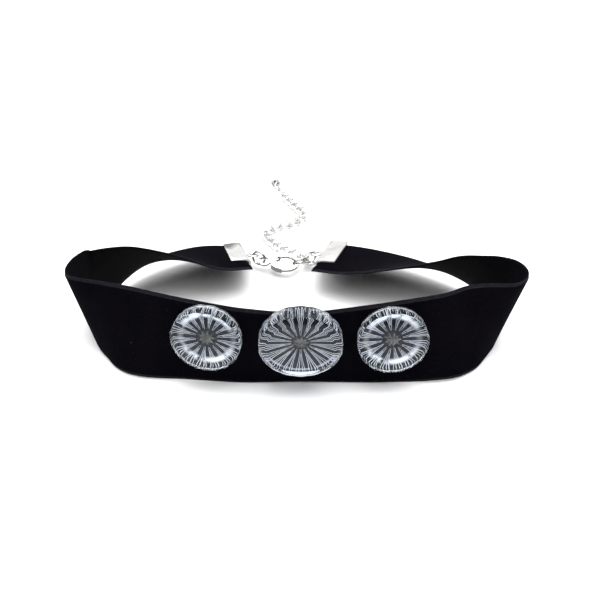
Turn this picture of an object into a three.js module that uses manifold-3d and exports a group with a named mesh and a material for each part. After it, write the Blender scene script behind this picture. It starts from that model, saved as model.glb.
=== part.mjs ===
// Choker necklace: a velvet ribbon that stands on its lower edge, with three clear fluted crystals
// on its front, a metal clamp on each ribbon end, a lobster clasp and an extender chain.
// Millimetres, +Z up, the crystals face -Y and the clasp is at the back.
import * as THREE from 'three';
import { mergeVertices } from 'three/addons/utils/BufferGeometryUtils.js';
import Module from 'manifold-3d';

const wasm = await Module();
wasm.setup();

// Clearance between pieces that touch on the real necklace
const gap = 0.3;

// Ribbon
const ribbonWidth = 25;
const ribbonWall = 1;
const loopHalfWidth = 60;
const loopDepth = 50;

// Each row is a crosswise section of the ribbon, from its left end round the front to its right end.
// across: how far right of the middle, in shares of loopHalfWidth
// back: how far behind the front, in shares of loopDepth
// lean: degrees by which the upper edge leans out of the loop
// lift: how high the lower edge stands off the floor, in shares of ribbonWidth
const RIBBON_ROWS = [
  { across: -0.29, back: 0.99, lean: -74, lift: 0.10 },
  { across: -0.46, back: 0.92, lean: -73, lift: 0.18 },
  { across: -0.66, back: 0.81, lean: -55, lift: 0.18 },
  { across: -0.83, back: 0.69, lean: -30, lift: 0.09 },
  { across: -0.95, back: 0.56, lean: -8, lift: 0.00 },
  { across: -0.965, back: 0.37, lean: 10, lift: 0.00 },
  { across: -0.875, back: 0.26, lean: -1, lift: 0.00 },
  { across: -0.725, back: 0.15, lean: -15, lift: 0.02 },
  { across: -0.49, back: 0.07, lean: -6, lift: 0.02 },
  { across: -0.24, back: 0.02, lean: 1, lift: 0.00 },
  { across: 0.02, back: 0.00, lean: 5, lift: 0.00 },
  { across: 0.32, back: 0.02, lean: -3, lift: 0.00 },
  { across: 0.58, back: 0.04, lean: -11, lift: 0.04 },
  { across: 0.73, back: 0.12, lean: -14, lift: 0.02 },
  { across: 0.885, back: 0.21, lean: 8, lift: 0.00 },
  { across: 0.94, back: 0.335, lean: 11, lift: 0.00 },
  { across: 0.87, back: 0.48, lean: -14, lift: 0.02 },
  { across: 0.76, back: 0.615, lean: -42, lift: 0.13 },
  { across: 0.55, back: 0.75, lean: -62, lift: 0.18 },
  { across: 0.32, back: 0.88, lean: -75, lift: 0.17 },
  { across: 0.16, back: 0.97, lean: -77, lift: 0.13 },
];

// Crystals, glued on the ribbon's outer face. backRise: from the back's middle to the girdle,
// frontRise: from the girdle to the table, table: the table's share of the diameter
const crystalSpacing = 22.7;
const crystalsLeft = 1.1;
const crystalsRaised = { left: 4.4, centre: 5.7, right: 3.8 };
const sideCrystal = { diameter: 17.5, backRise: 0.7, girdle: 3.6, frontRise: 1.4, table: 0.3, flutes: 16 };
const centreCrystal = { diameter: 20.5, backRise: 0.7, girdle: 3.9, frontRise: 0.9, table: 0.83, flutes: 18 };
const fluteDepth = 0.25;

// Ribbon clamps: a folded plate with a loop on its fold
const clampLength = 18.5;
const clampDepth = 6;
const clampPlate = 0.6;
const clampSkew = 9;
const clampGrip = 3.1;
const clampOffset = 3;
const loopHole = 2.4;
const loopWire = 0.7;
const loopNeck = 0.6;

// Lobster clasp and the jump ring that carries it
const jumpRingDiameter = 4.8;
const jumpRingWire = 0.7;
const claspLength = 12.5;
const claspWidth = 6.4;
const claspThickness = 2.4;
const claspHookThickness = 1.1;
const claspHookBand = 0.8;
const claspRingHole = 2.4;
const claspRingBand = 0.6;
const claspRingThickness = 0.9;
const hookSeat = 0.6;
const leverThickness = 0.9;
const leverBoss = 2.2;
const leverPin = 0.7;

// Extender chain of curb links, and the drop on its end
const linkLength = 4.9;
const linkWidth = 3.5;
const linkWire = 0.65;
const linkTwist = 0.65;
const tailLinks = 20;
const dropLength = 6;
const dropWidth = 3;
const dropThickness = 0.8;
const dropHole = 1.7;
const dropBand = 0.45;

// How far pieces are rolled about their own length, in degrees up from lying flat
const jumpRingRoll = 80;
const claspRoll = 18;
const heldLinkRoll = 120;
const clampLinkRoll = 62;
const firstLinkRoll = 80;
const lastLinkRoll = 70;

// Where the extender runs over the floor, as steps right and back from where it hooks on
const EXTENDER_ROUTE = [
  { right: 0, back: 0 },
  { right: -5, back: 7.5 },
  { right: -11.5, back: 13.5 },
  { right: -14.5, back: 20 },
  { right: -11, back: 25 },
  { right: -5, back: 27.3 },
  { right: -2, back: 32 },
  { right: -5, back: 38.5 },
  { right: -9.5, back: 46 },
  { right: -11, back: 52 },
  { right: -10, back: 64 },
];

// Looks
const velvet = new THREE.MeshStandardMaterial({ name: 'velvet', color: 0x08080c, roughness: 1 });
const crystal = new THREE.MeshStandardMaterial({ name: 'crystal', color: 0xc9d2dc, roughness: 0.05 });
const silverLook = { name: 'silver', color: 0xd8d6d0, roughness: 0.25, metalness: 1 };
const silver = new THREE.MeshStandardMaterial(silverLook);

const Z = new THREE.Vector3(0, 0, 1);

// Joins and cuts closed solids
function toSolid(geometry) {
  const bare = geometry.clone();
  bare.deleteAttribute('normal');
  bare.deleteAttribute('uv');
  const merged = mergeVertices(bare, 1e-4);
  return new wasm.Manifold(new wasm.Mesh({
    numProp: 3,
    vertProperties: new Float32Array(merged.attributes.position.array),
    triVerts: new Uint32Array(merged.index.array),
  }));
}

function toGeometry(solid) {
  const mesh = solid.getMesh();
  const geometry = new THREE.BufferGeometry();
  geometry.setAttribute('position', new THREE.BufferAttribute(new Float32Array(mesh.vertProperties), 3));
  geometry.setIndex(new THREE.BufferAttribute(new Uint32Array(mesh.triVerts), 1));
  geometry.computeVertexNormals();
  return geometry;
}

function placedSolid(geometry, x, y, z) {
  geometry.translate(x, y, z);
  return toSolid(geometry);
}

// A closed solid from rings of points that all have the same count, open at no end.
// closed: the last ring joins the first, and otherwise both ends get a flat cap
function loft(rings, closed) {
  const count = rings[0].length;
  const positions = rings.flatMap((ring) => ring.flatMap((point) => [point.x, point.y, point.z]));
  const index = [];
  const spans = closed ? rings.length : rings.length - 1;
  for (let i = 0; i < spans; i += 1) {
    const here = i * count;
    const next = ((i + 1) % rings.length) * count;
    for (let j = 0; j < count; j += 1) {
      const k = (j + 1) % count;
      index.push(here + j, next + j, next + k, here + j, next + k, here + k);
    }
  }
  const last = (rings.length - 1) * count;
  for (let j = 0; !closed && j < count / 2 - 1; j += 1) {
    const far = count - 1 - j;
    index.push(j, j + 1, far - 1, j, far - 1, far);
    index.push(last + j, last + far - 1, last + j + 1, last + j, last + far, last + far - 1);
  }
  const geometry = new THREE.BufferGeometry();
  geometry.setAttribute('position', new THREE.Float32BufferAttribute(positions, 3));
  geometry.setIndex(index);
  geometry.computeVertexNormals();
  return geometry;
}

// Ribbon: sections follow the rows smoothly, and drawIn moves both back ends towards each other
const sectionsPerRow = 6;
const widthSpans = 4;

function ribbonSections(drawIn) {
  const plan = RIBBON_ROWS.map((row) => {
    const backShare = Math.max(0, row.back - 0.5) / 0.5;
    const shift = -Math.sign(row.across - 0.02) * drawIn * backShare ** 2;
    const across = row.across * loopHalfWidth + shift;
    return new THREE.Vector3(across, row.back * loopDepth, row.lift * ribbonWidth);
  });
  const leans = RIBBON_ROWS.map((row) => new THREE.Vector3(THREE.MathUtils.degToRad(row.lean), 0, 0));
  const planCurve = new THREE.CatmullRomCurve3(plan, false, 'catmullrom', 0.5);
  const leanCurve = new THREE.CatmullRomCurve3(leans, false, 'catmullrom', 0.5);
  const steps = (RIBBON_ROWS.length - 1) * sectionsPerRow;
  const leanAt = [];
  const points = [];
  for (let i = 0; i <= steps; i += 1) {
    const lean = leanCurve.getPoint(i / steps).x;
    const point = planCurve.getPoint(i / steps);
    point.z = Math.max(0, point.z);
    point.z += (ribbonWidth / 2) * Math.abs(Math.cos(lean)) + (ribbonWall / 2) * Math.abs(Math.sin(lean));
    leanAt.push(lean);
    points.push(point);
  }
  return points.map((centre, i) => {
    const before = points[Math.max(0, i - 1)];
    const after = points[Math.min(steps, i + 1)];
    const along = after.clone().sub(before).normalize();
    const outward = along.clone().cross(Z).normalize();
    const upright = outward.clone().cross(along).normalize();
    const width = upright.clone().multiplyScalar(Math.cos(leanAt[i]));
    width.addScaledVector(outward, Math.sin(leanAt[i]));
    const out = outward.clone().multiplyScalar(Math.cos(leanAt[i]));
    out.addScaledVector(upright, -Math.sin(leanAt[i]));
    return { centre, along, width, out };
  });
}

function ribbonGeometry(sections) {
  const rings = sections.map(({ centre, width, out }) => {
    const ring = [];
    for (const side of [1, -1]) {
      for (let j = 0; j <= widthSpans; j += 1) {
        const acrossWidth = side * (j / widthSpans - 0.5) * ribbonWidth;
        const point = centre.clone().addScaledVector(width, acrossWidth);
        ring.push(point.addScaledVector(out, (side * ribbonWall) / 2));
      }
    }
    return ring;
  });
  return loft(rings, false);
}

// The section that lies a given run of ribbon to the right of the front's middle row
function sectionAt(sections, run) {
  const middle = ((RIBBON_ROWS.length - 1) / 2) * sectionsPerRow;
  const step = Math.sign(run);
  let i = middle;
  let left = Math.abs(run);
  let span = 0;
  while (left > 0) {
    span = sections[i].centre.distanceTo(sections[i + step].centre);
    left -= span;
    i += step;
  }
  const share = span > 0 ? -left / span : 0;
  const centre = sections[i].centre.clone().lerp(sections[i === middle ? i : i - step].centre, share);
  return { ...sections[i], centre };
}

// A frame with its origin and its own X, Y and Z in world terms
function frameOf(origin, x, y, z) {
  const matrix = new THREE.Matrix4().makeBasis(x, y, z);
  return matrix.setPosition(origin);
}

// Crystals: rings from the back's middle over the girdle to the front's middle, with a fluted edge.
// Local +Z faces out of the ribbon
const crystalSteps = 4;

function crystalGeometry(stone) {
  const around = stone.flutes * crystalSteps;
  const radius = stone.diameter / 2;
  const shoulder = stone.backRise + stone.girdle;
  const profile = [];
  for (const share of [0.15, 0.55, 0.85]) {
    profile.push({ reach: share, height: stone.backRise * share ** 2 * 0.8, flute: 0.6 * share });
  }
  profile.push({ reach: 1, height: stone.backRise, flute: 1 });
  profile.push({ reach: 1, height: shoulder, flute: 1 });
  for (const share of [0.3, 0.6, 1]) {
    const reach = 1 - share * (1 - stone.table);
    const rise = stone.frontRise * (1 - reach ** 2) / (1 - stone.table ** 2);
    profile.push({ reach, height: shoulder + rise, flute: 1 - share });
  }
  const positions = [0, 0, 0];
  for (const { reach, height, flute } of profile) {
    for (let i = 0; i < around; i += 1) {
      const angle = (i / around) * 2 * Math.PI;
      const notch = fluteDepth * flute * (1 - Math.abs(Math.sin((angle * stone.flutes) / 2)));
      const r = radius * reach - notch;
      positions.push(r * Math.cos(angle), r * Math.sin(angle), height);
    }
  }
  positions.push(0, 0, shoulder + stone.frontRise);
  const last = positions.length / 3 - 1;
  const index = [];
  for (let i = 0; i < around; i += 1) {
    const k = (i + 1) % around;
    index.push(0, 1 + k, 1 + i);
    for (let ring = 0; ring < profile.length - 1; ring += 1) {
      const low = 1 + ring * around;
      const high = low + around;
      index.push(low + i, low + k, high + k, low + i, high + k, high + i);
    }
    index.push(last, last - around + i, last - around + k);
  }
  const geometry = new THREE.BufferGeometry();
  geometry.setAttribute('position', new THREE.Float32BufferAttribute(positions, 3));
  geometry.setIndex(index);
  geometry.computeVertexNormals();
  return geometry;
}

// The crystal's back stands a gap off the ribbon's outer face wherever the ribbon curves forward
function crystalFrame(sections, stone, run, raised) {
  const seat = sectionAt(sections, run);
  const centre = seat.centre.clone().addScaledVector(seat.width, raised);
  let proud = 0;
  for (const section of sections) {
    for (const share of [-0.5, 0, 0.5]) {
      const point = section.centre.clone().addScaledVector(section.width, share * ribbonWidth);
      point.addScaledVector(section.out, ribbonWall / 2).sub(centre);
      const height = point.dot(seat.out);
      const across = point.addScaledVector(seat.out, -height).length();
      proud = across < stone.diameter / 2 + 1 ? Math.max(proud, height) : proud;
    }
  }
  centre.addScaledVector(seat.out, proud + gap);
  return frameOf(centre, seat.along, seat.width, seat.out);
}

// Clamps. Local X runs from the mouth away from the ribbon, Y along the width, Z out of the ribbon
const clampHeight = ribbonWall / 2 + gap + clampPlate;
const loopRadius = loopHole / 2 + loopWire / 2;
const loopReach = clampDepth + loopNeck + loopRadius;

function clampGeometry() {
  const innerHeight = clampHeight - clampPlate;
  const fold = clampDepth - clampHeight;
  const profile = new THREE.Shape();
  profile.moveTo(0, -clampHeight);
  profile.absarc(fold, 0, clampHeight, -Math.PI / 2, Math.PI / 2, false);
  profile.lineTo(0, clampHeight);
  profile.lineTo(0, innerHeight);
  profile.absarc(fold, 0, innerHeight, Math.PI / 2, -Math.PI / 2, true);
  profile.lineTo(0, -innerHeight);
  profile.closePath();
  const sweep = { depth: clampLength, bevelEnabled: false, curveSegments: 6 };
  const plate = new THREE.ExtrudeGeometry(profile, sweep);
  plate.rotateX(Math.PI / 2);
  const ring = new THREE.TorusGeometry(loopRadius, loopWire / 2, 6, 14);
  const neckLength = loopNeck + loopWire;
  const neck = new THREE.BoxGeometry(neckLength, 1.6, loopWire);
  return toGeometry(
    placedSolid(plate, 0, clampLength / 2, 0)
      .add(placedSolid(ring, loopReach, 0, 0))
      .add(placedSolid(neck, clampDepth - loopWire / 2 + neckLength / 2, 0, 0)),
  );
}

// end: the ribbon's end section, and away: which way the ribbon's run leaves it
function clampFrame(end, away) {
  const run = end.along.clone().multiplyScalar(away);
  const skew = THREE.MathUtils.degToRad(clampSkew);
  const x = run.clone().multiplyScalar(Math.cos(skew)).addScaledVector(end.width, Math.sin(skew));
  const y = end.width.clone().multiplyScalar(Math.cos(skew)).addScaledVector(run, -Math.sin(skew));
  const mouth = end.centre.clone().addScaledVector(run, -clampGrip).addScaledVector(end.width, -clampOffset);
  return frameOf(mouth, x, y, x.clone().cross(y));
}

// The fastening hangs in a shallow bow from the left clamp's loop to the right clamp's loop
const fasteningDrop = 1.6;
const fasteningForward = 3.2;
const jumpRingRadius = (jumpRingDiameter - jumpRingWire) / 2;
const claspEye = claspRingHole / 2 + claspRingBand;
const linkRadius = (linkLength - linkWire) / 2;
const linkPitch = 2 * linkRadius - linkWire - gap;
const claspReach = claspLength - claspHookBand - hookSeat - linkWire / 2 - claspEye;

function bowPoint(left, right, share) {
  const sag = 4 * share * (1 - share);
  const point = left.clone().lerp(right, share);
  return point.add(new THREE.Vector3(0, -fasteningForward * sag, -fasteningDrop * sag));
}

// Points on the bow, each a given straight distance from the one before
function stepsAlongBow(left, right, lengths) {
  const points = [left];
  let share = 0;
  for (const length of lengths) {
    let next = points.at(-1);
    while (next.distanceTo(points.at(-1)) < length && share < 2) {
      share += 0.0005;
      next = bowPoint(left, right, share);
    }
    points.push(next);
  }
  return { points, share };
}

// Jump ring, clasp, and the two chain links between the clasp and the right clamp
const fasteningLengths = [2 * jumpRingRadius, claspReach, 2 * linkRadius, linkPitch];

// Draws the ribbon's ends together, or lets them apart, until the fastening just spans them
function closeTheLoop() {
  let drawIn = 0;
  let layout;
  for (let pass = 0; pass < 12; pass += 1) {
    const sections = ribbonSections(drawIn);
    const leftClamp = clampFrame(sections[0], -1);
    const rightClamp = clampFrame(sections.at(-1), 1);
    const leftLoop = new THREE.Vector3(loopReach, 0, 0).applyMatrix4(leftClamp);
    const rightLoop = new THREE.Vector3(loopReach, 0, 0).applyMatrix4(rightClamp);
    const bow = stepsAlongBow(leftLoop, rightLoop, fasteningLengths);
    drawIn += (leftLoop.distanceTo(rightLoop) * (1 - bow.share)) / 2;
    layout = { sections, leftClamp, rightClamp, points: bow.points };
  }
  return layout;
}

// A frame whose X runs from one point to another and whose Y is rolled up from the level by degrees
function spanFrame(from, to, roll) {
  const x = to.clone().sub(from).normalize();
  const level = Z.clone().cross(x).normalize();
  const upright = x.clone().cross(level);
  const angle = THREE.MathUtils.degToRad(roll);
  const y = level.multiplyScalar(Math.cos(angle)).addScaledVector(upright, Math.sin(angle));
  return frameOf(from.clone().add(to).multiplyScalar(0.5), x, y, x.clone().cross(y));
}

// A bent wire whose middle line is a closed curve
function wireLoop(curvePoint, wire, steps) {
  const rings = [];
  for (let i = 0; i < steps; i += 1) {
    const angle = (i / steps) * 2 * Math.PI;
    const centre = curvePoint(angle);
    const along = curvePoint(angle + 0.01).sub(curvePoint(angle - 0.01)).normalize();
    const side = along.clone().cross(Z).normalize();
    const top = side.clone().cross(along);
    const ring = [];
    for (let j = 0; j < 6; j += 1) {
      const turn = ((j + 0.5) / 6) * 2 * Math.PI;
      const point = centre.clone().addScaledVector(side, (wire / 2) * Math.cos(turn));
      ring.push(point.addScaledVector(top, (wire / 2) * Math.sin(turn)));
    }
    rings.push(ring);
  }
  return loft(rings, true);
}

// A link is a bent oval, and a curb link is also twisted, so that it lies flat and threads its neighbours
const linkHalfWidth = (linkWidth - linkWire) / 2;

function linkCurve(angle, twist) {
  return new THREE.Vector3(
    linkRadius * Math.cos(angle),
    linkHalfWidth * Math.sin(angle),
    twist * Math.sin(2 * angle),
  );
}

function linkGeometry(twist) {
  return wireLoop((angle) => linkCurve(angle, twist), linkWire, 16);
}

// Clasp. Local X runs from its ring's hole to the hook's end, Y towards the lever, Z is its thickness
const hookEnd = claspLength - claspEye;
const hookCentre = hookEnd - claspWidth * 0.73;
const openingHalfLength = 3.2;
const openingHalfWidth = claspWidth / 2 - 1.4;
const openingCentre = hookEnd - claspHookBand - openingHalfLength;
const openingRise = 0.15;
const leverGapStart = openingCentre - openingHalfLength - 0.2;
const leverGapEnd = openingCentre + 1.5;
const pivotX = openingCentre - openingHalfLength - 0.3;
const pivotY = 1.4;
const cheekGap = leverThickness / 2 + gap;
const slotDepth = 0.5;

function prism(shape, thickness) {
  const sweep = { depth: thickness, bevelEnabled: false, curveSegments: 20 };
  return placedSolid(new THREE.ExtrudeGeometry(shape, sweep), 0, 0, -thickness / 2);
}

function ellipseShape(x, y, halfLength, halfWidth) {
  return new THREE.Shape().absellipse(x, y, halfLength, halfWidth, 0, 2 * Math.PI, false, 0);
}

function box(x0, x1, y0, y1, thickness) {
  return placedSolid(new THREE.BoxGeometry(x1 - x0, y1 - y0, thickness), (x0 + x1) / 2, (y0 + y1) / 2, 0);
}

function disc(x, y, diameter, thickness) {
  const geometry = new THREE.CylinderGeometry(diameter / 2, diameter / 2, thickness, 20);
  geometry.rotateX(Math.PI / 2);
  return placedSolid(geometry, x, y, 0);
}

function opening(margin, thickness) {
  const halfLength = openingHalfLength + margin;
  return prism(ellipseShape(openingCentre, openingRise, halfLength, openingHalfWidth + margin), thickness);
}

function claspOutline() {
  const outline = new THREE.Shape();
  outline.absarc(0, 0, claspEye * 0.98, 0.7, 2 * Math.PI - 0.7, false);
  outline.absellipse(hookCentre, 0, hookEnd - hookCentre, claspWidth / 2, -2.5, 2.5, false, 0);
  outline.closePath();
  return outline;
}

function claspBodyGeometry() {
  const thick = prism(claspOutline(), claspThickness).subtract(box(openingCentre - 1, 99, -99, 99, 9));
  const thin = prism(claspOutline(), claspHookThickness).subtract(box(-99, claspEye + 0.4, -99, 99, 9));
  const eye = disc(0, 0, 2 * claspEye, claspRingThickness);
  const thickPart = thick.subtract(box(-99, claspEye + 0.4, -99, 99, 9));
  const neck = box(claspEye - 0.3, claspEye + 0.6, -0.8, 0.8, claspRingThickness);
  const slot = box(pivotX - leverBoss / 2 - gap, leverGapEnd, -slotDepth, 99, 2 * cheekGap);
  const gateGap = box(leverGapStart + 1.4, leverGapEnd, 0.9, 99, 9);
  const pin = disc(pivotX, pivotY, leverPin, claspThickness);
  return toGeometry(
    thin.add(thickPart).add(eye).add(neck)
      .subtract(disc(0, 0, claspRingHole, 9))
      .subtract(opening(0, 9))
      .subtract(slot)
      .subtract(gateGap)
      .add(pin),
  );
}

function leverGeometry() {
  const band = prism(claspOutline(), leverThickness).subtract(opening(0.1, 9));
  const arm = band.intersect(box(pivotX, leverGapEnd - gap, pivotY, 99, 9));
  const boss = disc(pivotX, pivotY, leverBoss, leverThickness);
  const thumb = box(pivotX - leverBoss / 2, pivotX - 0.2, pivotY, claspWidth / 2 + 0.9, leverThickness);
  return toGeometry(arm.add(boss).add(thumb).subtract(disc(pivotX, pivotY, leverPin + 2 * gap, 9)));
}

// Drop: a flat teardrop with a hole at its narrow end. Local X runs from the hole to the round end
const dropShoulder = dropHole / 2 + dropBand;

function dropGeometry() {
  const round = dropLength - dropShoulder - dropWidth / 2;
  const outline = new THREE.Shape();
  outline.absarc(0, 0, dropShoulder, 0.9, 2 * Math.PI - 0.9, false);
  outline.absarc(round, 0, dropWidth / 2, -1.8, 1.8, false);
  outline.closePath();
  return toGeometry(prism(outline, dropThickness).subtract(disc(0, 0, dropHole, 9)));
}

// The extender's links roll from upright to flat over the first few, and up again to the drop
const rollingLinks = 3;

function linkRoll(i) {
  const rollIn = firstLinkRoll * Math.max(0, 1 - i / rollingLinks);
  const rollOut = lastLinkRoll * Math.max(0, 1 - (tailLinks - 1 - i) / rollingLinks);
  return rollIn + rollOut;
}

// How high a curb link's middle is over the floor that its lowest wire rests on
function restHeight(roll) {
  const tilt = THREE.MathUtils.degToRad(roll);
  let deepest = 0;
  for (let angle = 0; angle < 2 * Math.PI; angle += 0.1) {
    const { y, z } = linkCurve(angle, linkTwist);
    deepest = Math.max(deepest, y * Math.sin(tilt) + z * Math.cos(tilt));
  }
  return deepest + linkWire / 2;
}

// The points between the extender's links, one pitch apart along its route
function extenderPoints(start) {
  const layHeight = restHeight(0);
  const route = EXTENDER_ROUTE.map(({ right, back }) => (
    new THREE.Vector3(start.x + right, start.y + back, layHeight)
  ));
  route[0].z = start.z;
  const curve = new THREE.CatmullRomCurve3(route, false, 'centripetal');
  const length = curve.getLength();
  const lastRun = curve.getTangent(1);
  const points = [curve.getPoint(0)];
  let travelled = 0;
  while (points.length <= tailLinks) {
    travelled += 0.02;
    const point = curve.getPointAt(Math.min(1, travelled / length));
    point.addScaledVector(lastRun, Math.max(0, travelled - length));
    const lowest = Math.max(restHeight(linkRoll(points.length)), restHeight(linkRoll(points.length - 1)));
    point.z = Math.max(point.z, lowest);
    if (point.distanceTo(points.at(-1)) >= linkPitch) points.push(point);
  }
  return points;
}

// Assembly
const group = new THREE.Group();
group.name = 'choker_necklace';

function addPiece(name, geometry, material, matrix) {
  const mesh = new THREE.Mesh(geometry, material);
  mesh.name = name;
  if (matrix) mesh.applyMatrix4(matrix);
  group.add(mesh);
  return mesh;
}

const { sections, leftClamp, rightClamp, points } = closeTheLoop();
addPiece('velvet_ribbon', ribbonGeometry(sections), velvet);
const leftRun = -crystalSpacing - crystalsLeft;
const rightRun = crystalSpacing - crystalsLeft;
const leftStone = crystalFrame(sections, sideCrystal, leftRun, crystalsRaised.left);
const centreStone = crystalFrame(sections, centreCrystal, -crystalsLeft, crystalsRaised.centre);
const rightStone = crystalFrame(sections, sideCrystal, rightRun, crystalsRaised.right);
addPiece('crystal_left', crystalGeometry(sideCrystal), crystal, leftStone);
addPiece('crystal_centre', crystalGeometry(centreCrystal), crystal, centreStone);
addPiece('crystal_right', crystalGeometry(sideCrystal), crystal, rightStone);
addPiece('clamp_left', clampGeometry(), silver, leftClamp);
addPiece('clamp_right', clampGeometry(), silver, rightClamp);

const [leftLoop, claspHole, hookedLink, secondLink, rightLoop] = points;
const jumpRing = new THREE.TorusGeometry(jumpRingRadius, jumpRingWire / 2, 6, 16);
addPiece('jump_ring', jumpRing, silver, spanFrame(leftLoop, claspHole, jumpRingRoll));
const claspFrame = spanFrame(claspHole, hookedLink, claspRoll);
claspFrame.setPosition(claspHole);
addPiece('clasp_body', claspBodyGeometry(), silver, claspFrame);
addPiece('clasp_lever', leverGeometry(), silver, claspFrame);

addPiece('link_held', linkGeometry(0), silver, spanFrame(hookedLink, secondLink, heldLinkRoll));
const towardsLoop = rightLoop.clone().sub(secondLink).normalize();
const secondStart = rightLoop.clone().addScaledVector(towardsLoop, -2 * linkRadius);
const secondFrame = spanFrame(secondStart, rightLoop, clampLinkRoll);
addPiece('link_clamp', linkGeometry(0), silver, secondFrame);

// The tail hooks on the lower side of the link next to the clamp
const halfClearance = (linkWire + gap) / 2;
const leaving = new THREE.Vector3(EXTENDER_ROUTE[1].right, EXTENDER_ROUTE[1].back, 0).normalize();
const lowerSide = new THREE.Vector3(0, -linkHalfWidth, 0).applyMatrix4(secondFrame);
const tail = extenderPoints(lowerSide.addScaledVector(leaving, -halfClearance));
for (let i = 0; i < tailLinks; i += 1) {
  const along = tail[i + 1].clone().sub(tail[i]).normalize();
  const from = tail[i].clone().addScaledVector(along, -halfClearance);
  const to = tail[i + 1].clone().addScaledVector(along, halfClearance);
  const name = `link_${String(i + 1).padStart(2, '0')}`;
  addPiece(name, linkGeometry(linkTwist), silver, spanFrame(from, to, linkRoll(i)));
}

// The drop hangs on the last link's end wire and rests its round end on the floor
const lastStep = tail.at(-1).clone().sub(tail.at(-2)).normalize();
const dropPoint = tail.at(-1).clone().addScaledVector(lastStep, halfClearance);
const reach = dropLength - dropShoulder;
const dropEnd = dropPoint.clone().addScaledVector(lastStep.setZ(0).normalize(), reach);
dropEnd.z = dropThickness / 2;
const dropFrame = spanFrame(dropPoint, dropEnd, 0);
dropFrame.setPosition(dropPoint);
addPiece('chain_drop', dropGeometry(), silver, dropFrame);

// The origin is the middle of the footprint, on the floor
group.updateMatrixWorld(true);
const bounds = new THREE.Box3().setFromObject(group, true);
const middle = bounds.getCenter(new THREE.Vector3());
group.position.set(-middle.x, -middle.y, -bounds.min.z);

export default group;
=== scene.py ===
import bmesh
import bpy
import math
import random
import numpy as np
from mathutils import Matrix, Vector


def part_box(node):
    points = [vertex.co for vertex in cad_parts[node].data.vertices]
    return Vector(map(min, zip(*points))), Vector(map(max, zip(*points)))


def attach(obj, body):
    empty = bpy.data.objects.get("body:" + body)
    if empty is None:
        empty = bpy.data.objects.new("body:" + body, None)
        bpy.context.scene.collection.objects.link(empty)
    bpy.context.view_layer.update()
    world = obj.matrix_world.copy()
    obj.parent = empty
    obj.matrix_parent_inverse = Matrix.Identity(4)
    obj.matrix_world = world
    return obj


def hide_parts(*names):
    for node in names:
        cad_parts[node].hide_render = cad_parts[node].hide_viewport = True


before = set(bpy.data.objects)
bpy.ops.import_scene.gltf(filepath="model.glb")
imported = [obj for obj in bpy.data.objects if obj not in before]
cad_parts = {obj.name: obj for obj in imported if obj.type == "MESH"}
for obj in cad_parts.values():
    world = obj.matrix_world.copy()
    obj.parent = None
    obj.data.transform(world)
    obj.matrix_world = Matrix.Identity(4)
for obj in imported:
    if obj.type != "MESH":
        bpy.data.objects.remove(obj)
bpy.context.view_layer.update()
mm = 0.001

# Camera: level with a person's eyes over a table, looking down at the choker's front from a little
# to its left, as a product photographer would.
camera_aim = Vector((1.74, -16.64, 0.0)) * mm
camera_distance = 230 * mm
camera_height_angle = math.radians(38)
camera_side_angle = math.radians(1.4)
camera = bpy.data.objects.new("camera", bpy.data.cameras.new("camera"))
camera.data.sensor_width = 36
camera.data.lens = 47.1
camera.data.shift_x = -0.003
camera.data.shift_y = 0.009
camera.data.clip_start = 0.01
towards = Vector((
    math.sin(camera_side_angle) * math.cos(camera_height_angle),
    math.cos(camera_side_angle) * math.cos(camera_height_angle),
    -math.sin(camera_height_angle),
))
camera.location = camera_aim - camera_distance * towards
camera.rotation_mode = "QUATERNION"
camera.rotation_quaternion = towards.to_track_quat("-Z", "Y")
bpy.context.scene.collection.objects.link(camera)
bpy.context.scene.camera = camera


# Velvet ribbon: one length of black velvet ribbon, short pile on the face and plain weave on the
# back, with a woven edge on both sides. It is cut square and gripped by a clamp at each end.
section_points = 10
fine_step = 0.27 * mm
ribbon_half_width = 12.5 * mm
edge_tooth = 0.11 * mm
tooth_pitch = 0.54 * mm
tooth_reach = 0.3 * mm
thread_pitch = 0.3 * mm
woven_edge_strips = 4

# Half of the outline across the ribbon, from an edge to its middle, for the pile face and for the back:
# how far in from the edge in mm, and how far out from the ribbon's middle layer in mm.
FACE_OUTLINE = [
    (0.00, 0.02), (0.10, 0.12), (0.55, 0.16), (0.72, 0.20), (0.88, 0.42), (1.20, 0.50),
    (3.0, 0.50), (6.0, 0.50), (9.0, 0.50), (12.5, 0.50),
]
BACK_OUTLINE = [(0.10, -0.16), (0.60, -0.34), (1.20, -0.42), (4.0, -0.44), (8.0, -0.44), (12.5, -0.44)]


def cad_ribbon_sections():
    """The middle and the width way of each crosswise section of the ribbon's solid, from its left end."""
    solid = bmesh.new()
    solid.from_mesh(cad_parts["velvet_ribbon"].data)
    bmesh.ops.remove_doubles(solid, verts=solid.verts, dist=0.001 * mm)
    low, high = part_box("clamp_left")
    clamp = (low + high) / 2
    uneven = [v for v in solid.verts if len(v.link_edges) != 6]
    corners = sorted(uneven, key=lambda v: (v.co - clamp).length)[:4]
    middle = sum((v.co for v in corners), Vector()) / 4
    across = max((a.co - b.co for a in corners for b in corners), key=lambda d: d.length)
    thin = min((a.co - b.co for a in corners for b in corners if a != b), key=lambda d: d.length)
    end_normal = across.cross(thin).normalized()
    near = [v for v in solid.verts if (v.co - middle).length < ribbon_half_width * 1.1]
    ring = sorted(near, key=lambda v: abs((v.co - middle).dot(end_normal)))[:section_points]
    seen = set(ring)
    middles = []
    ways = []
    while ring:
        points = np.array([v.co[:] for v in ring])
        centre = points.mean(axis=0)
        way = np.linalg.svd(points - centre)[2][0]
        middles.append(centre)
        ways.append(way * math.copysign(1, way[2]))
        around = {edge.other_vert(v) for v in ring for edge in v.link_edges}
        ring = [v for v in around if v not in seen]
        seen.update(ring)
    solid.free()
    return np.array(middles), np.array(ways)


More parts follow.
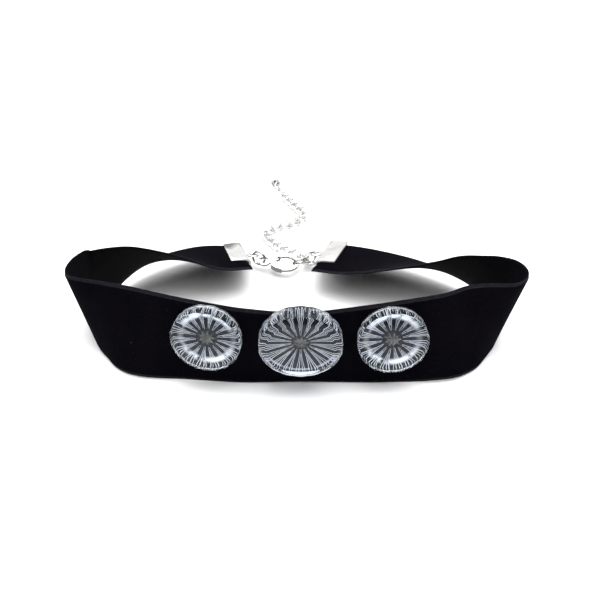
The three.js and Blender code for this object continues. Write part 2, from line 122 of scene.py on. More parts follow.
def smooth_row(values, share):
    """A smooth curve through rows of values, read at a share of their count."""
    i = min(int(share), len(values) - 2)
    t = share - i
    a, b, c, d = (values[min(max(k, 0), len(values) - 1)] for k in (i - 1, i, i + 1, i + 2))
    return b + 0.5 * t * (c - a + t * (2 * a - 5 * b + 4 * c - d + t * (3 * (b - c) + d - a)))


def unit(vector):
    return vector / np.linalg.norm(vector)


def mesh_object(name, vertices, faces, materials, smooth=True):
    mesh = bpy.data.meshes.new(name)
    mesh.from_pydata([tuple(v) for v in vertices], [], faces)
    for material in materials:
        mesh.materials.append(material)
    for polygon in mesh.polygons:
        polygon.use_smooth = smooth
    piece = bpy.data.objects.new(name, mesh)
    bpy.context.scene.collection.objects.link(piece)
    return piece


def node(tree, kind, links=(), **settings):
    """Adds a shader node. links are (input, value or output socket), settings are its own options."""
    made = tree.nodes.new(kind)
    for key, value in settings.items():
        setattr(made, key, value)
    for key, value in links:
        if isinstance(value, bpy.types.NodeSocket):
            tree.links.new(value, made.inputs[key])
        else:
            made.inputs[key].default_value = value
    return made


def new_material(name, **shader_values):
    material = bpy.data.materials.new(name)
    material.use_nodes = True
    shader = material.node_tree.nodes["Principled BSDF"]
    for key, value in shader_values.items():
        shader.inputs[key.replace("_", " ")].default_value = value
    return material, material.node_tree, shader


def new_group(name, inputs, outputs):
    group = bpy.data.node_groups.new(name, "ShaderNodeTree")
    for socket, kind, value in inputs:
        made = group.interface.new_socket(socket, in_out="INPUT", socket_type=kind)
        made.default_value = value
    for socket, kind in outputs:
        group.interface.new_socket(socket, in_out="OUTPUT", socket_type=kind)
    return group, group.nodes.new("NodeGroupInput"), group.nodes.new("NodeGroupOutput")


def use_group(tree, group, links=()):
    return node(tree, "ShaderNodeGroup", links, node_tree=group)


def mottled_cloth_group():
    """Slow patches where the nap lies differently, and the fine grain of thread or pile ends."""
    group, given, out = new_group(
        "mottled_cloth",
        [("Patch Size", "NodeSocketFloat", 120.0), ("Grain Size", "NodeSocketFloat", 2500.0),
         ("Dark", "NodeSocketColor", (0, 0, 0, 1)), ("Light", "NodeSocketColor", (0.01, 0.01, 0.01, 1))],
        [("Color", "NodeSocketColor"), ("Height", "NodeSocketFloat")],
    )
    place = node(group, "ShaderNodeTexCoord")
    patch = node(group, "ShaderNodeTexNoise", [
        ("Vector", place.outputs["Object"]), ("Scale", given.outputs["Patch Size"]), ("Detail", 3.0)])
    grain = node(group, "ShaderNodeTexNoise", [
        ("Vector", place.outputs["Object"]), ("Scale", given.outputs["Grain Size"]), ("Detail", 2.0)])
    both = node(group, "ShaderNodeMath", [
        (0, patch.outputs["Fac"]), (1, 0.45), (2, grain.outputs["Fac"])], operation="MULTIPLY_ADD")
    share = node(group, "ShaderNodeMapRange", [
        ("Value", both.outputs["Value"]), ("From Min", 0.45), ("From Max", 1.0)])
    colour = node(group, "ShaderNodeMix", [
        ("Factor", share.outputs["Result"]), ("A", given.outputs["Dark"]), ("B", given.outputs["Light"])],
        data_type="RGBA")
    group.links.new(colour.outputs["Result"], out.inputs["Color"])
    group.links.new(grain.outputs["Fac"], out.inputs["Height"])
    return group


mottled_cloth = mottled_cloth_group()


def velvet_material():
    """Near-black pile with a navy cast, a few pale specks of lint, and a soft sheen at low angles."""
    material, tree, shader = new_material(
        "velvet_pile", Roughness=1.0, Specular_IOR_Level=0.02, Sheen_Weight=0.006, Sheen_Roughness=0.35)
    shader.inputs["Sheen Tint"].default_value = (0.55, 0.6, 0.85, 1)
    cloth = use_group(tree, mottled_cloth, [
        ("Patch Size", 90.0), ("Grain Size", 2600.0),
        ("Dark", (0.0006, 0.0005, 0.0010, 1)), ("Light", (0.0036, 0.0030, 0.0054, 1))])
    place = node(tree, "ShaderNodeTexCoord")
    lint = node(tree, "ShaderNodeTexVoronoi", [
        ("Vector", place.outputs["Object"]), ("Scale", 380.0)], feature="F1")
    lint_spots = node(tree, "ShaderNodeMapRange", [
        ("Value", lint.outputs["Distance"]), ("From Min", 0.09), ("From Max", 0.03)])
    lint_where = node(tree, "ShaderNodeTexNoise", [("Vector", place.outputs["Object"]), ("Scale", 140.0)])
    lint_rare = node(tree, "ShaderNodeMapRange", [
        ("Value", lint_where.outputs["Fac"]), ("From Min", 0.56), ("From Max", 0.7)])
    lint_share = node(tree, "ShaderNodeMath", [
        (0, lint_spots.outputs["Result"]), (1, lint_rare.outputs["Result"])], operation="MULTIPLY")
    colour = node(tree, "ShaderNodeMix", [
        ("Factor", lint_share.outputs["Value"]), ("A", cloth.outputs["Color"]),
        ("B", (0.05, 0.05, 0.06, 1))], data_type="RGBA")
    tree.links.new(colour.outputs["Result"], shader.inputs["Base Color"])
    bump = node(tree, "ShaderNodeBump", [
        ("Strength", 0.7), ("Distance", 0.08 * mm), ("Height", cloth.outputs["Height"])])
    tree.links.new(bump.outputs["Normal"], shader.inputs["Normal"])
    return material


def woven_material(name, dark, light, roughness):
    """The ribbon's plain weave: fine threads along and across it, seen on its back and its edges."""
    material, tree, shader = new_material(name, Roughness=roughness, Specular_IOR_Level=0.08)
    cloth = use_group(tree, mottled_cloth, [
        ("Patch Size", 140.0), ("Grain Size", 1500.0), ("Dark", dark), ("Light", light)])
    run = node(tree, "ShaderNodeAttribute", attribute_name="run")
    threads = node(tree, "ShaderNodeMath", [
        (0, run.outputs["Fac"]), (1, 2 * math.pi / thread_pitch)], operation="MULTIPLY")
    wave = node(tree, "ShaderNodeMath", [(0, threads.outputs["Value"])], operation="SINE")
    height = node(tree, "ShaderNodeMath", [
        (0, wave.outputs["Value"]), (1, 0.4), (2, cloth.outputs["Height"])], operation="MULTIPLY_ADD")
    tree.links.new(cloth.outputs["Color"], shader.inputs["Base Color"])
    bump = node(tree, "ShaderNodeBump", [
        ("Strength", 0.5), ("Distance", 0.04 * mm), ("Height", height.outputs["Value"])])
    tree.links.new(bump.outputs["Normal"], shader.inputs["Normal"])
    return material


def ribbon_outline():
    """The whole outline as (across, out, material) in metres, round from the lower edge."""
    width = ribbon_half_width / mm
    lower = [(inset - width, out) for inset, out in FACE_OUTLINE]
    upper = [(width - inset, out) for inset, out in reversed(FACE_OUTLINE[:-1])]
    back = [(width - inset, out) for inset, out in BACK_OUTLINE]
    home = [(inset - width, out) for inset, out in reversed(BACK_OUTLINE[:-1])]
    return [(across * mm, out * mm) for across, out in lower + upper + back + home]


def make_ribbon():
    """The ribbon along the solid's sections, with a toothed edge. Slots: 0 pile, 1 weave, 2 woven edge."""
    middles, ways = cad_ribbon_sections()
    steps = np.linalg.norm(np.diff(middles, axis=0), axis=1)
    length = steps.sum()
    runs = np.concatenate([[0], np.cumsum(steps)])
    outline = ribbon_outline()
    count = int(length / fine_step)
    vertices = []
    run_values = []
    for k in range(count + 1):
        run = length * k / count
        share = float(np.interp(run, runs, range(len(runs))))
        middle = smooth_row(middles, share)
        ahead = smooth_row(middles, min(share + 0.05, len(middles) - 1))
        behind = smooth_row(middles, max(share - 0.05, 0))
        along = unit(ahead - behind)
        way = unit(smooth_row(ways, share))
        out = unit(np.cross(along, way))
        tooth = edge_tooth * (abs((run / tooth_pitch) % 1 - 0.5) * 2 - 0.5)
        for across, height in outline:
            at_edge = max(0.0, 1 - (ribbon_half_width - abs(across)) / tooth_reach)
            reach = across + math.copysign(tooth * at_edge, across)
            vertices.append(middle + way * reach + out * height)
            run_values.append(run)
    around = len(outline)
    face_count = 2 * len(FACE_OUTLINE) - 2
    faces = []
    slots = []
    for k in range(count):
        for j in range(around):
            i = k * around + j
            n = k * around + (j + 1) % around
            faces.append((i, i + around, n + around, n))
            near_edge = min(j, face_count - 1 - j) < woven_edge_strips
            slots.append(1 if j >= face_count else 2 if near_edge else 0)
    faces.append(tuple(range(around)))
    faces.append(tuple(reversed(range(count * around, (count + 1) * around))))
    slots += [1, 1]
    woven = woven_material("ribbon_weave", (0.0005, 0.0005, 0.0009, 1), (0.0025, 0.0025, 0.004, 1), 0.85)
    edge = woven_material("ribbon_edge", (0.003, 0.003, 0.0045, 1), (0.012, 0.012, 0.017, 1), 0.7)
    piece = mesh_object("ribbon", vertices, faces, [velvet_material(), woven, edge])
    piece.data.polygons.foreach_set("material_index", slots)
    attribute = piece.data.attributes.new("run", "FLOAT", "POINT")
    attribute.data.foreach_set("value", run_values)
    return piece, length


ribbon, ribbon_length = make_ribbon()
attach(ribbon, "necklace")
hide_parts("velvet_ribbon")


# Crystals: clear moulded stones with a fluted rim and cuts that run in from it on the back, glued flat
# on the ribbon. The two side stones have a domed front. The centre one has a flat front with a bevel.
side_stone = dict(
    radius=8.75 * mm, back_rise=0.7 * mm, girdle=3.6 * mm, front_rise=1.4 * mm, table=0.3,
    flutes=16, cut_start=0.27, hub=2.2 * mm)
middle_stone = dict(
    radius=10.25 * mm, back_rise=0.7 * mm, girdle=3.9 * mm, front_rise=0.9 * mm, table=0.83,
    flutes=18, cut_start=0.21, hub=2.3 * mm)
flute_depth = 0.16 * mm
steps_per_flute = 12
dish_edge = 0.85
dish_depth = 0.8
skin = 0.12 * mm
back_lift = 0.16 * mm
pleat_depth = 0.10 * mm
cut_lift = 0.26 * mm
cut_inset = 0.3 * mm
cut_end = 0.955
cut_lanes = (-0.66, -0.26, 0.26, 0.66)
cut_pieces = 6
wall_pieces = 3
wall_foot = 0.4 * mm
wall_thinning = 0.55
hub_points = 9
hub_notch = 0.5


def stone_seat(name):
    """Where a stone's solid sits: its back's middle, and its own right, up and outward ways."""
    points = np.array([v.co[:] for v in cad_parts[name].data.vertices])
    centre = points.mean(axis=0)
    out = np.linalg.svd(points - centre, full_matrices=False)[2][2]
    out = out * math.copysign(1, -out[1])
    back = centre + out * ((points - centre) @ out).min()
    right = unit(np.cross((0, 0, 1), out))
    up = np.cross(out, right)
    seat = Matrix.Identity(4)
    for row in range(3):
        seat[row][0], seat[row][1], seat[row][2], seat[row][3] = right[row], up[row], out[row], back[row]
    return seat


def rim_notch(stone, angle):
    return flute_depth * (1 - abs(math.sin(angle * stone["flutes"] / 2)))


def back_height(stone, share):
    """How high the stone's back stands over its middle: a shallow dish, then a slope to the girdle."""
    dish = dish_depth * min(share, dish_edge) ** 2
    slope = (1 - dish_depth * dish_edge ** 2) * max(0.0, share - dish_edge) / (1 - dish_edge)
    return stone["back_rise"] * (dish + slope)


def front_height(stone, share):
    """How high the front stands over the girdle: a flat table, and a slope or dome down from it."""
    return stone["front_rise"] * min(1.0, (1 - share ** 2) / (1 - stone["table"] ** 2))


def turned_faces(rings, around):
    """Faces between rings of points with one closing point before the first and after the last."""
    faces = []
    last = 1 + rings * around
    for i in range(around):
        k = (i + 1) % around
        faces.append((0, 1 + k, 1 + i))
        for ring in range(rings - 1):
            low = 1 + ring * around
            faces.append((low + i, low + k, low + around + k, low + around + i))
        faces.append((last, last - around + i, last - around + k))
    return faces


def stone_glass(name, stone, seat, material):
    around = stone["flutes"] * steps_per_flute
    shoulder = stone["back_rise"] + stone["girdle"]
    profile = [(s, back_height(stone, s), s * 0.6) for s in (0.15, 0.35, 0.55, 0.7, 0.85, 0.95)]
    profile += [(1.0, back_height(stone, 1.0), 1.0), (1.0, shoulder - skin, 1.0)]
    for s in (0.992, 0.97, 0.94, 0.9, 0.86, 0.83, 0.8, 0.7, 0.6, 0.5, 0.4, 0.3, 0.2, 0.1):
        fluted = max(0.0, (s - stone["table"]) / (1 - stone["table"]))
        profile.append((s, shoulder + front_height(stone, s), fluted))
    vertices = [(0, 0, 0)]
    for share, height, fluted in profile:
        for i in range(around):
            angle = 2 * math.pi * i / around
            reach = stone["radius"] * share - rim_notch(stone, angle) * fluted
            vertices.append((reach * math.cos(angle), reach * math.sin(angle), height))
    vertices.append((0, 0, shoulder + stone["front_rise"]))
    piece = mesh_object(name, vertices, turned_faces(len(profile), around), [material])
    piece.matrix_world = seat
    return piece


def stone_back(name, stone, seat, material):
    """The cut back as it shows through the front: a shallow dish pleated along the flutes."""
    around = stone["flutes"] * steps_per_flute
    shares = [0.06 * k for k in range(1, 17)]
    vertices = [(0, 0, back_lift)]
    for share in shares:
        for i in range(around):
            angle = 2 * math.pi * i / around
            pleat = pleat_depth * share * (1 - abs(math.sin(angle * stone["flutes"] / 2)))
            reach = stone["radius"] * share - rim_notch(stone, angle) * share
            height = back_height(stone, share) + back_lift + pleat
            vertices.append((reach * math.cos(angle), reach * math.sin(angle), height))
    faces = []
    for i in range(around):
        k = (i + 1) % around
        faces.append((0, 1 + i, 1 + k))
        for ring in range(len(shares) - 1):
            low = 1 + ring * around
            faces.append((low + i, low + around + i, low + around + k, low + k))
    piece = mesh_object(name, vertices, faces, [material], smooth=False)
    piece.matrix_world = seat
    return piece


def cut_path(stone, start, girdle_share):
    """Points (reach, height) along one cut: out over the back, then a way up the girdle's wall."""
    rim = stone["radius"] - flute_depth - cut_inset
    path = []
    for k in range(cut_pieces + 1):
        share = start + (cut_end - start) * k / cut_pieces
        path.append((rim * share, back_height(stone, share) + cut_lift))
    for k in range(1, wall_pieces + 1):
        reach = rim * (0.97 + 0.03 * min(1.0, k / 2))
        rise = stone["girdle"] * girdle_share * k / wall_pieces
        path.append((reach, stone["back_rise"] + wall_foot + rise))
    return path


def stone_cuts(name, stone, seat, material, seed):
    """The edges of the cuts, painted bright with a glow to stand in for the light they catch: narrow ridges
    that fan out to the rim in a group on each flute.
    """
    draw = random.Random(seed)
    vertices = []
    faces = []
    for flute in range(stone["flutes"]):
        middle = (flute + 0.5) / stone["flutes"] * 2 * math.pi
        for lane in cut_lanes:
            start = stone["cut_start"] + draw.uniform(0.0, 0.06) + 0.16 * (abs(lane) < 0.5)
            outer = (lane + draw.uniform(-0.06, 0.06)) * math.pi / stone["flutes"]
            inner = outer * 0.32
            width = draw.uniform(0.06, 0.12) * mm
            path = cut_path(stone, start, draw.uniform(0.35, 0.8))
            base = len(vertices)
            for k, (reach, height) in enumerate(path):
                t = min(1.0, k / cut_pieces)
                angle = middle + inner + (outer - inner) * t
                on_wall = k > cut_pieces
                half = width * (0.3 + 0.7 * t) * (wall_thinning if on_wall else 1.0)
                x, y = reach * math.cos(angle), reach * math.sin(angle)
                side = (-math.sin(angle) * half, math.cos(angle) * half)
                lift = 0.2 * half if on_wall else 1.2 * half
                inward = half if on_wall else 0.0
                ridge = (x - inward * math.cos(angle), y - inward * math.sin(angle), height + lift)
                vertices.append((x - side[0], y - side[1], height))
                vertices.append(ridge)
                vertices.append((x + side[0], y + side[1], height))
            for k in range(len(path) - 1):
                a = base + 3 * k
                faces += [(a, a + 3, a + 4, a + 1), (a + 1, a + 4, a + 5, a + 2), (a + 2, a + 5, a + 3, a)]
            faces += [(base, base + 1, base + 2)]
            faces += [(len(vertices) - 1, len(vertices) - 2, len(vertices) - 3)]
    piece = mesh_object(name, vertices, faces, [material], smooth=False)
    piece.matrix_world = seat
    return piece


def stone_glowing_crescent(name, stone, seat, material):
    """A band on the lower side of the girdle, painted white with a glow: a painted reflection, which shows as
    a white crescent through the front.
    """
    spread = 0.34 * math.pi
    steps = 40
    reach = stone["radius"] - flute_depth - skin
    top = stone["back_rise"] + stone["girdle"] - 0.15 * mm
    vertices = []
    for k in range(steps + 1):
        turn = spread * (2 * k / steps - 1)
        depth = (stone["girdle"] - 0.5 * mm) * math.cos(turn / spread * math.pi / 2) + 0.05 * mm
        x, y = reach * math.sin(turn), -reach * math.cos(turn)
        vertices += [(x, y, top - depth), (x, y, top)]
    faces = [(2 * k, 2 * k + 2, 2 * k + 3, 2 * k + 1) for k in range(steps)]
    piece = mesh_object(name, vertices, faces, [material])
    piece.matrix_world = seat
    return piece


def stone_hub(name, stone, seat, material):
    """The small star that all the cuts meet at, in the middle of the back."""
    corners = 2 * hub_points
    vertices = [(0, 0, 0.75 * mm)]
    for k in range(corners):
        angle = math.pi * k / hub_points
        reach = stone["hub"] * (1.0 if k % 2 == 0 else hub_notch)
        height = (0.32 if k % 2 == 0 else 0.5) * mm
        vertices.append((reach * math.cos(angle), reach * math.sin(angle), height))
    vertices.append((0, 0, 0.2 * mm))
    faces = []
    for k in range(corners):
        here, ahead = 1 + k, 1 + (k + 1) % corners
        faces += [(0, here, ahead), (len(vertices) - 1, ahead, here)]
    piece = mesh_object(name, vertices, faces, [material], smooth=False)
    piece.matrix_world = seat
    return piece


def glass_material():
    """Clear polished glass with a faint cold tint and very slight ripple."""
    material, tree, shader = new_material(
        "clear_glass", Transmission_Weight=1.0, Roughness=0.0, IOR=1.5)
    shader.inputs["Base Color"].default_value = (0.97, 0.985, 1.0, 1)
    shader.inputs["Specular Tint"].default_value = (0.4, 0.43, 0.5, 1)
    place = node(tree, "ShaderNodeTexCoord")
    ripple = node(tree, "ShaderNodeTexNoise", [("Vector", place.outputs["Object"]), ("Scale", 260.0)])
    bump = node(tree, "ShaderNodeBump", [
        ("Strength", 0.15), ("Distance", 0.02 * mm), ("Height", ripple.outputs["Fac"])])
    tree.links.new(bump.outputs["Normal"], shader.inputs["Normal"])
    return material


def back_material(name, stone, ring_at, ring_width, haze, painted_ring_light):
    """The dark cut back: grey haze in its middle, and a broken bright ring of painted light, coloured and
    glowing, where the dome gathers light.
    """
    material, tree, shader = new_material(name, Roughness=0.35, Specular_IOR_Level=0.04)
    place = node(tree, "ShaderNodeTexCoord")
    per_radius = 1 / stone["radius"]
    flat = node(tree, "ShaderNodeVectorMath", [
        (0, place.outputs["Object"]), (1, (per_radius, per_radius, 0))], operation="MULTIPLY")
    share = node(tree, "ShaderNodeVectorMath", [(0, flat.outputs["Vector"])], operation="LENGTH")
    away = node(tree, "ShaderNodeMath", [(0, share.outputs["Value"]), (1, ring_at)], operation="SUBTRACT")
    distance = node(tree, "ShaderNodeMath", [(0, away.outputs["Value"])], operation="ABSOLUTE")
    ring = node(tree, "ShaderNodeMapRange", [
        ("Value", distance.outputs["Value"]), ("From Min", ring_width), ("From Max", 0.0)],
        interpolation_type="SMOOTHSTEP")
    broken = node(tree, "ShaderNodeTexNoise", [
        ("Vector", place.outputs["Object"]), ("Scale", 420.0), ("Detail", 4.0)])
    broken_share = node(tree, "ShaderNodeMapRange", [
        ("Value", broken.outputs["Fac"]), ("From Min", 0.34), ("From Max", 0.52)])
    ways = node(tree, "ShaderNodeSeparateXYZ", [("Vector", flat.outputs["Vector"])])
    off_middle = node(tree, "ShaderNodeMath", [(0, ways.outputs["Y"])], operation="ABSOLUTE")
    above_and_below = node(tree, "ShaderNodeMapRange", [
        ("Value", off_middle.outputs["Value"]), ("From Min", 0.2), ("From Max", 0.55), ("To Min", 0.15)])
    # Painted light: the ring shows only above and below the middle, where the dome would catch light.
    painted_light_arcs = node(tree, "ShaderNodeMath", [
        (0, ring.outputs["Result"]), (1, above_and_below.outputs["Result"])], operation="MULTIPLY")
    painted_light_share = node(tree, "ShaderNodeMath", [
        (0, painted_light_arcs.outputs["Value"]), (1, broken_share.outputs["Result"])], operation="MULTIPLY")
    inside = node(tree, "ShaderNodeMapRange", [
        ("Value", share.outputs["Value"]), ("From Min", ring_at + 0.06), ("From Max", ring_at - 0.1)])
    base = node(tree, "ShaderNodeMix", [
        ("Factor", inside.outputs["Result"]), ("A", (0.0015, 0.0015, 0.002, 1)), ("B", haze)],
        data_type="RGBA")
    colour = node(tree, "ShaderNodeMix", [
        ("Factor", painted_light_share.outputs["Value"]), ("A", base.outputs["Result"]), ("B", painted_ring_light)],
        data_type="RGBA")
    tree.links.new(colour.outputs["Result"], shader.inputs["Base Color"])
    # Painted light: the ring's bright colour is also given as a glow.
    glow = node(tree, "ShaderNodeMix", [
        ("Factor", painted_light_share.outputs["Value"]), ("A", (0, 0, 0, 1)), ("B", painted_ring_light)], data_type="RGBA")
    tree.links.new(glow.outputs["Result"], shader.inputs["Emission Color"])
    shader.inputs["Emission Strength"].default_value = 0.6
    return material


def glowing_glint_material(name, glow):
    """Painted light: white glints with a glow, along each cut's edge and on the centre stone's lower side."""
    material, tree, shader = new_material(name, Roughness=0.4, Specular_IOR_Level=0.6)
    place = node(tree, "ShaderNodeTexCoord")
    glint_noise = node(tree, "ShaderNodeTexNoise", [("Vector", place.outputs["Object"]), ("Scale", 900.0)])
    colour = node(tree, "ShaderNodeMix", [
        ("Factor", glint_noise.outputs["Fac"]), ("A", (0.42, 0.47, 0.57, 1)), ("B", (0.90, 0.95, 1.0, 1))],
        data_type="RGBA")
    tree.links.new(colour.outputs["Result"], shader.inputs["Base Color"])
    # Painted light: the glints glow in their own colour.
    tree.links.new(colour.outputs["Result"], shader.inputs["Emission Color"])
    shader.inputs["Emission Strength"].default_value = glow
    return material


def hub_material():
    """The star's small facets, silvered grey with a trace of green."""
    material, tree, shader = new_material("hub_star", Metallic=0.7, Roughness=0.22)
    place = node(tree, "ShaderNodeTexCoord")
    cloud = node(tree, "ShaderNodeTexNoise", [("Vector", place.outputs["Object"]), ("Scale", 700.0)])
    colour = node(tree, "ShaderNodeMix", [
        ("Factor", cloud.outputs["Fac"]), ("A", (0.004, 0.005, 0.0045, 1)), ("B", (0.16, 0.17, 0.155, 1))],
        data_type="RGBA")
    tree.links.new(colour.outputs["Result"], shader.inputs["Base Color"])
    return material


clear_glass = glass_material()
# Painted light: the cuts' edges are white and glow.
glowing_cut_edges = glowing_glint_material("glowing_cut_edges", 0.34)
# Painted reflection: the centre stone's white crescent glows more strongly than the cuts.
glowing_crescent = glowing_glint_material("glowing_crescent", 0.75)
hub_star = hub_material()
# The last colour is the painted light of each back's ring.
domed_back = back_material(
    "domed_back", side_stone, 0.7, 0.13, (0.014, 0.016, 0.021, 1), (0.9, 0.95, 1.0, 1))
flat_back = back_material(
    "flat_back", middle_stone, 0.9, 0.05, (0.012, 0.013, 0.015, 1), (0.35, 0.37, 0.42, 1))


def make_stone(side, stone, back, seed):
    name = "crystal_" + side
    seat = stone_seat(name)
    glass = stone_glass(name + "_glass", stone, seat, clear_glass)
    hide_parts(name)
    parts = [
        glass,
        stone_back(name + "_back", stone, seat, back),
        stone_cuts(name + "_cuts", stone, seat, glowing_cut_edges, seed),
        stone_hub(name + "_hub", stone, seat, hub_star),
    ]
    if stone is middle_stone:
        parts.append(stone_glowing_crescent(name + "_edge", stone, seat, glowing_crescent))
    for part in parts:
        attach(part, "necklace")


make_stone("left", side_stone, domed_back, 3)
make_stone("centre", middle_stone, flat_back, 5)
make_stone("right", side_stone, domed_back, 8)


# Ribbon clamps, clasp, its lever and the drop: stamped and cast in white metal and bright plated, so
# every edge is a little round. The clamps are squeezed shut on the ribbon's ends.
def plated_group():
    """Slight unevenness of bright plating in broad waves, with painted shade where it faces down."""
    group, given, out = new_group(
        "plated_metal",
        [("Wave Size", "NodeSocketFloat", 300.0), ("Rough Low", "NodeSocketFloat", 0.1),
         ("Rough High", "NodeSocketFloat", 0.3), ("Dull", "NodeSocketColor", (0.6, 0.6, 0.6, 1)),
         ("Bright", "NodeSocketColor", (0.75, 0.75, 0.75, 1)),
         ("Shade", "NodeSocketColor", (0.2, 0.2, 0.2, 1))],
        [("Color", "NodeSocketColor"), ("Roughness", "NodeSocketFloat"), ("Height", "NodeSocketFloat")],
    )
    place = node(group, "ShaderNodeTexCoord")
    wave = node(group, "ShaderNodeTexNoise", [
        ("Vector", place.outputs["Object"]), ("Scale", given.outputs["Wave Size"]), ("Detail", 4.0)])
    rough = node(group, "ShaderNodeMapRange", [
        ("Value", wave.outputs["Fac"]), ("From Min", 0.3), ("From Max", 0.7),
        ("To Min", given.outputs["Rough Low"]), ("To Max", given.outputs["Rough High"])])
    colour = node(group, "ShaderNodeMix", [
        ("Factor", wave.outputs["Fac"]), ("A", given.outputs["Dull"]), ("B", given.outputs["Bright"])],
        data_type="RGBA")
    # Painted shade: the plating turns to the shade colour where its surface faces down.
    surface = node(group, "ShaderNodeNewGeometry")
    ways = node(group, "ShaderNodeSeparateXYZ", [("Vector", surface.outputs["Normal"])])
    upward = node(group, "ShaderNodeMapRange", [
        ("Value", ways.outputs["Z"]), ("From Min", -0.1), ("From Max", 0.55)])
    shaded = node(group, "ShaderNodeMix", [
        ("Factor", upward.outputs["Result"]), ("A", given.outputs["Shade"]), ("B", colour.outputs["Result"])],
        data_type="RGBA")
    group.links.new(shaded.outputs["Result"], out.inputs["Color"])
    group.links.new(rough.outputs["Result"], out.inputs["Roughness"])
    group.links.new(wave.outputs["Fac"], out.inputs["Height"])
    return group


plated_metal = plated_group()


def grey(level):
    """A nickel grey: a shade warmer than neutral."""
    return (level, 0.99 * level, 0.97 * level, 1)


def plated_material(name, wave_size, rough, depth, tone, edge_shade_start=0.6):
    """Bright plating, with painted shade where it faces down and where it turns away at the edges. rough:
    lowest and highest. tone: the painted shade, then the plating's dull and bright.
    """
    shade, dull, bright = tone
    material, tree, shader = new_material(name, Metallic=1.0)
    plating = use_group(tree, plated_metal, [
        ("Wave Size", wave_size), ("Rough Low", rough[0]), ("Rough High", rough[1]),
        ("Dull", grey(dull)), ("Bright", grey(bright)), ("Shade", grey(shade))])
    # Painted shade: the plating darkens to the shade colour towards the edges that turn away from the view.
    facing = node(tree, "ShaderNodeLayerWeight", [("Blend", 0.5)])
    painted_edge_shade = node(tree, "ShaderNodeMapRange", [
        ("Value", facing.outputs["Facing"]), ("From Min", edge_shade_start), ("From Max", 0.97)])
    colour = node(tree, "ShaderNodeMix", [
        ("Factor", painted_edge_shade.outputs["Result"]), ("A", plating.outputs["Color"]),
        ("B", grey(0.75 * shade))], data_type="RGBA")
    tree.links.new(colour.outputs["Result"], shader.inputs["Base Color"])
    tree.links.new(plating.outputs["Roughness"], shader.inputs["Roughness"])
    bump = node(tree, "ShaderNodeBump", [
        ("Strength", 0.4), ("Distance", depth), ("Height", plating.outputs["Height"])])
    tree.links.new(bump.outputs["Normal"], shader.inputs["Normal"])
    return material


def softened_copy(name, made_from, material, radius):
    """The solid of a stamped or cast piece with its edges rounded."""
    flat_within, sharp_from, smooth_below = math.radians(1), math.radians(35), math.radians(40)
    shape = bmesh.new()
    shape.from_mesh(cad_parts[made_from].data)
    bmesh.ops.remove_doubles(shape, verts=shape.verts, dist=0.001 * mm)
    bmesh.ops.dissolve_limit(shape, angle_limit=flat_within, verts=shape.verts, edges=shape.edges)
    sharp = [e for e in shape.edges if len(e.link_faces) == 2 and e.calc_face_angle() > sharp_from]
    bmesh.ops.bevel(
        shape, geom=sharp, offset=radius, segments=2, profile=0.5, affect="EDGES", clamp_overlap=True)
    mesh = bpy.data.meshes.new(name)
    shape.to_mesh(mesh)
    shape.free()
    mesh.materials.append(material)
    for polygon in mesh.polygons:
        polygon.use_smooth = True
    mesh.set_sharp_from_angle(angle=smooth_below)
    piece = bpy.data.objects.new(name, mesh)
    bpy.context.scene.collection.objects.link(piece)
    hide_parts(made_from)
    return piece


# Each tone gives the painted shade colour first, then the plating's dull and bright.
clamp_metal = plated_material(
    "clamp_plating", 500.0, (0.5, 0.62), 0.02 * mm, (0.3, 0.84, 0.96), edge_shade_start=0.85)
cast_metal = plated_material("cast_plating", 350.0, (0.08, 0.22), 0.03 * mm, (0.16, 0.62, 0.78))
for side in ("left", "right"):
    clamp = softened_copy("ribbon_clamp_" + side, "clamp_" + side, clamp_metal, 0.10 * mm)
    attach(clamp, "necklace")
clasp = softened_copy("lobster_clasp", "clasp_body", cast_metal, 0.16 * mm)
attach(clasp, "necklace")
lever = softened_copy("lobster_lever", "clasp_lever", cast_metal, 0.10 * mm)
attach(lever, "lever")
drop = softened_copy("end_drop", "chain_drop", cast_metal, 0.16 * mm)
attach(drop, "necklace")


# Jump ring and chain links: round wire, bent and closed, plated bright. The extender's links are
# twisted so that each threads the next and the chain lies down. The chain is plated duller and paler than the
# ring, with lighter painted shade.
wire_sides = 12
link_twist = 0.65 * mm
extender_links = 20
# The ring and the links at the clasp and the clamp carry dark painted shade; the extender's links carry a
# pale one.
ring_metal = plated_material("ring_plating", 250.0, (0.06, 0.16), 0.01 * mm, (0.14, 0.62, 0.78))
chain_metal = plated_material(
    "chain_plating", 250.0, (0.25, 0.4), 0.01 * mm, (0.62, 0.84, 0.95), edge_shade_start=0.75)


def wire_seat(name):
    """Where a wire's solid lies: its middle, and its own long, wide and thin ways."""
    points = np.array([v.co[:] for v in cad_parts[name].data.vertices])
    middle = points.mean(axis=0)
    long, wide, _ = np.linalg.svd(points - middle, full_matrices=False)[2]
    thin = np.cross(long, wide)
    seat = Matrix.Identity(4)
    for row in range(3):
        seat[row][0], seat[row][1], seat[row][2], seat[row][3] = long[row], wide[row], thin[row], middle[row]
    return seat


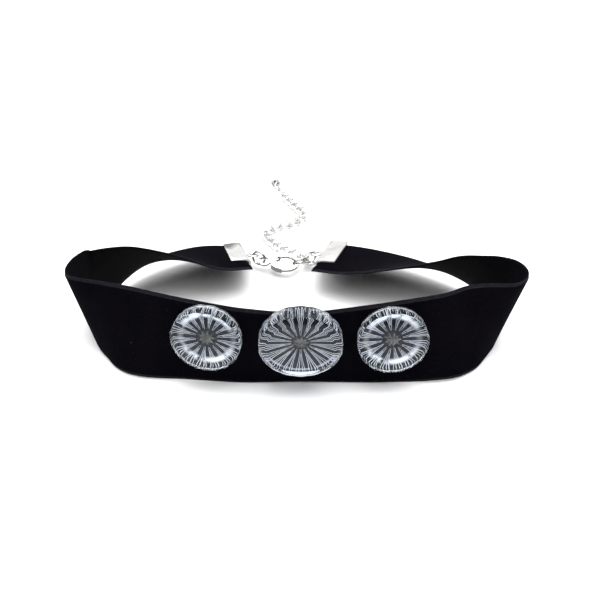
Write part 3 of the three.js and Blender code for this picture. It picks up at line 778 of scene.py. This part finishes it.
def bent_wire(name, made_from, metal, half_length, half_width, twist, wire, steps=48):
    """A closed bend of round wire, with the fine butt joint where its ends meet."""
    vertices = []
    for i in range(steps):
        angle = 2 * math.pi * i / steps
        cosine, sine = math.cos(angle), math.sin(angle)
        centre = Vector((half_length * cosine, half_width * sine, twist * math.sin(2 * angle)))
        along = Vector((-half_length * sine, half_width * cosine, 2 * twist * math.cos(2 * angle)))
        side = along.cross(Vector((0, 0, 1))).normalized()
        top = side.cross(along).normalized()
        thick = wire * (0.94 if i == steps // 4 else 1.0)
        for j in range(wire_sides):
            turn = 2 * math.pi * j / wire_sides
            vertices.append(centre + (side * math.cos(turn) + top * math.sin(turn)) * thick)
    faces = []
    for i in range(steps):
        for j in range(wire_sides):
            a, b = i * wire_sides, ((i + 1) % steps) * wire_sides
            k = (j + 1) % wire_sides
            faces.append((a + j, b + j, b + k, a + k))
    piece = mesh_object(name, vertices, faces, [metal])
    piece.matrix_world = wire_seat(made_from)
    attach(piece, "necklace")
    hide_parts(made_from)
    return piece


bent_wire("ring_wire", "jump_ring", ring_metal, 2.05 * mm, 2.05 * mm, 0.0, 0.35 * mm)
link_size = dict(half_length=2.125 * mm, half_width=1.425 * mm, wire=0.325 * mm)
bent_wire("chain_wire_held", "link_held", ring_metal, twist=0.0, **link_size)
bent_wire("chain_wire_clamp", "link_clamp", ring_metal, twist=0.0, **link_size)
for number in range(1, extender_links + 1):
    bent_wire(f"chain_wire_{number:02d}", f"link_{number:02d}", chain_metal, twist=link_twist, **link_size)


# Table: a seamless white sweep, so bright that only the shadows close to the ribbon show on it.
floor_half = 4.0
floor_material, floor_tree, floor_shader = new_material("white_sweep", Roughness=0.8)
floor_place = node(floor_tree, "ShaderNodeTexCoord")
floor_noise = node(floor_tree, "ShaderNodeTexNoise", [
    ("Vector", floor_place.outputs["Object"]), ("Scale", 30.0)])
floor_colour = node(floor_tree, "ShaderNodeMix", [
    ("Factor", floor_noise.outputs["Fac"]), ("A", (0.86, 0.86, 0.86, 1)), ("B", (0.88, 0.88, 0.88, 1))],
    data_type="RGBA")
floor_tree.links.new(floor_colour.outputs["Result"], floor_shader.inputs["Base Color"])
floor = mesh_object(
    "sweep",
    [(-floor_half, -floor_half, 0), (floor_half, -floor_half, 0), (floor_half, floor_half, 0),
     (-floor_half, floor_half, 0)],
    [(0, 1, 2, 3)], [floor_material])

# Light: a white ceiling of soft light with the dark room showing below it, and one broad lamp above.
world = bpy.data.worlds.new("soft_ceiling")
world.use_nodes = True
sky = world.node_tree
sky_way = node(sky, "ShaderNodeTexCoord")
sky_parts = node(sky, "ShaderNodeSeparateXYZ", [("Vector", sky_way.outputs["Generated"])])
sky_share = node(sky, "ShaderNodeMapRange", [
    ("Value", sky_parts.outputs["Z"]), ("From Min", 0.5), ("From Max", 0.75)],
    interpolation_type="SMOOTHSTEP")
sky_colour = node(sky, "ShaderNodeMix", [
    ("Factor", sky_share.outputs["Result"]), ("A", (0.03, 0.03, 0.035, 1)), ("B", (1.0, 1.0, 1.0, 1))],
    data_type="RGBA")
sky.links.new(sky_colour.outputs["Result"], sky.nodes["Background"].inputs["Color"])
sky.nodes["Background"].inputs["Strength"].default_value = 2.0
bpy.context.scene.world = world


def soft_lamp(name, where, size, power):
    lamp = bpy.data.objects.new(name, bpy.data.lights.new(name, "AREA"))
    lamp.data.shape = "SQUARE"
    lamp.data.size = size
    lamp.data.energy = power
    lamp.location = where
    lamp.rotation_mode = "QUATERNION"
    lamp.rotation_quaternion = (Vector((0, -0.02, 0)) - lamp.location).to_track_quat("-Z", "Y")
    bpy.context.scene.collection.objects.link(lamp)


soft_lamp("top_lamp", Vector((0.05, -0.12, 0.7)), 0.5, 5.0)
bpy.context.scene.view_settings.view_transform = "Standard"
